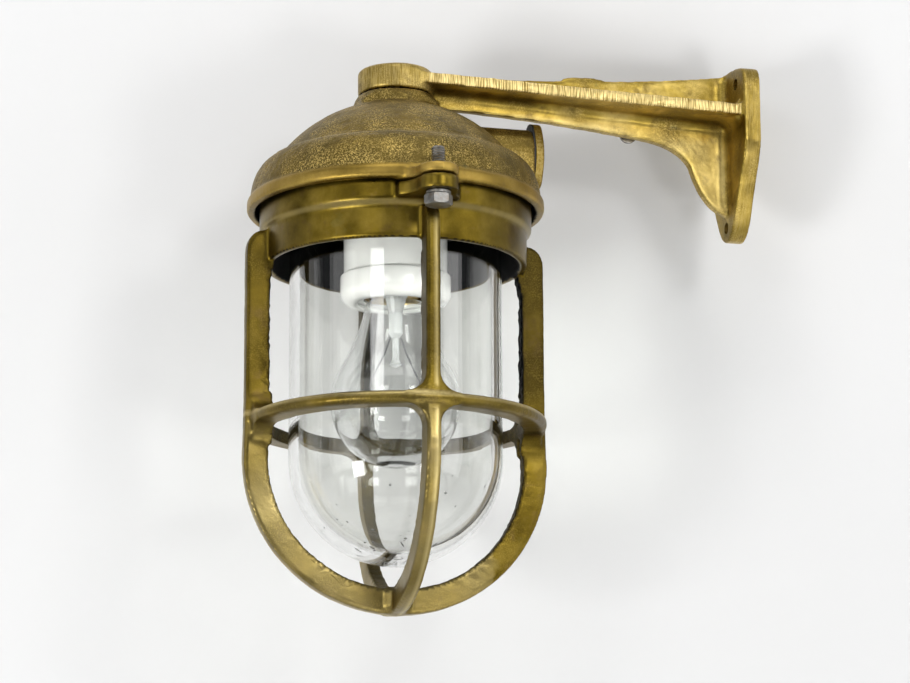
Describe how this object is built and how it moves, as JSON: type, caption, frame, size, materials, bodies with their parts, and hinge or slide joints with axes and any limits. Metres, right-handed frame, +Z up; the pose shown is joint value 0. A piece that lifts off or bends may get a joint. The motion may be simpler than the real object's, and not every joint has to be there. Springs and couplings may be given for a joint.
{
  "type": "ship lantern",
  "caption": "Ship's wall lantern: domed brass cap and ribbed brass guard round a clear glass globe, hung from a cast arm with a shield-shaped wall plate.",
  "frame": {"origin": "on the wall face of the bracket's plate, on its middle line, 105 mm above the lamp's own origin", "axes": "+X out of the wall face into the wall, +Z up along the lamp's axis, the lamp hangs at x = -0.1715"},
  "size_m": [0.2425, 0.17, 0.267],
  "materials": {
    "cast_brass": "aged sand-cast brass, brown-olive patina, ground edges bright",
    "sheet_brass": "drawn brass, dull",
    "zinc_steel": "zinc-plated steel, greyed",
    "clear_glass": "thick pressed clear glass with a few seeds",
    "bulb_glass": "thin blown clear glass",
    "porcelain": "white glazed porcelain",
    "black_rubber": "matt black rubber",
    "black_glass": "black vitrite",
    "tungsten_wire": "thin grey wire"
  },
  "bodies": {
    "lamp_body": {"bracket": "cast_brass", "earth_screw": "zinc_steel", "cap_dome": "cast_brass", "hub_bolt": "zinc_steel", "hub_washer": "zinc_steel", "gland_gasket": "black_rubber", "gland_flange": "cast_brass", "gland_seal": "black_rubber", "gland_screw_upper": "zinc_steel", "gland_screw_lower": "zinc_steel", "lampholder_bar": "zinc_steel", "bar_screw_front": "zinc_steel", "bar_screw_back": "zinc_steel", "lampholder_body": "porcelain", "lampholder_ring": "porcelain", "lampholder_shell": "sheet_brass", "centre_contact": "sheet_brass", "lampholder_screw_front": "zinc_steel", "lampholder_screw_back": "zinc_steel", "terminal_left": "sheet_brass", "terminal_right": "sheet_brass", "terminal_screw_left": "sheet_brass", "terminal_screw_right": "sheet_brass", "upper_gasket": "black_rubber"},
    "guard": {"guard_cage": "cast_brass", "lower_gasket": "black_rubber", "glass_globe": "clear_glass"},
    "bolt_front_travel": {"closure_washer_front": "zinc_steel"},
    "bolt_front": {"closure_bolt_front": "zinc_steel"},
    "bolt_back_travel": {"closure_washer_back": "zinc_steel"},
    "bolt_back": {"closure_bolt_back": "zinc_steel"},
    "bulb_travel": {"bulb_contact": "sheet_brass"},
    "bulb": {"bulb_insulator": "black_glass", "bulb_cap": "sheet_brass", "bulb_glass": "bulb_glass", "bulb_stem": "bulb_glass", "bulb_lead_left": "tungsten_wire", "bulb_lead_right": "tungsten_wire", "bulb_filament": "tungsten_wire"}
  },
  "joints": [
    {"name": "guard_drop", "type": "slide", "parent": "lamp_body", "child": "guard", "axis": [0, 0, -1], "range_m": [0, 0.135]},
    {"name": "bolt_front_slide", "type": "slide", "parent": "guard", "child": "bolt_front_travel", "axis": [0, 0, -1], "range_m": [0, 0.01344]},
    {"name": "bolt_front_turn", "type": "hinge", "parent": "bolt_front_travel", "child": "bolt_front", "pos_m": [-0.1715, -0.076, -0.0575], "axis": [0, 0, -1], "range_deg": [0, 3780]},
    {"name": "bolt_back_slide", "type": "slide", "parent": "guard", "child": "bolt_back_travel", "axis": [0, 0, -1], "range_m": [0, 0.01344]},
    {"name": "bolt_back_turn", "type": "hinge", "parent": "bolt_back_travel", "child": "bolt_back", "pos_m": [-0.1715, 0.076, -0.0575], "axis": [0, 0, -1], "range_deg": [0, 3780]},
    {"name": "bulb_slide", "type": "slide", "parent": "lamp_body", "child": "bulb_travel", "axis": [0, 0, -1], "range_m": [0, 0.0255]},
    {"name": "bulb_turn", "type": "hinge", "parent": "bulb_travel", "child": "bulb", "pos_m": [-0.1715, 0, -0.075], "axis": [0, 0, -1], "range_deg": [0, 2520]}
  ],
  "couplings": [
    {"joint": "bolt_front_slide", "follows": "bolt_front_turn", "m_per_rad": 0.00020213},
    {"joint": "bolt_back_slide", "follows": "bolt_back_turn", "m_per_rad": 0.00020213},
    {"joint": "bulb_slide", "follows": "bulb_turn", "m_per_rad": 0.00057757}
  ]
}
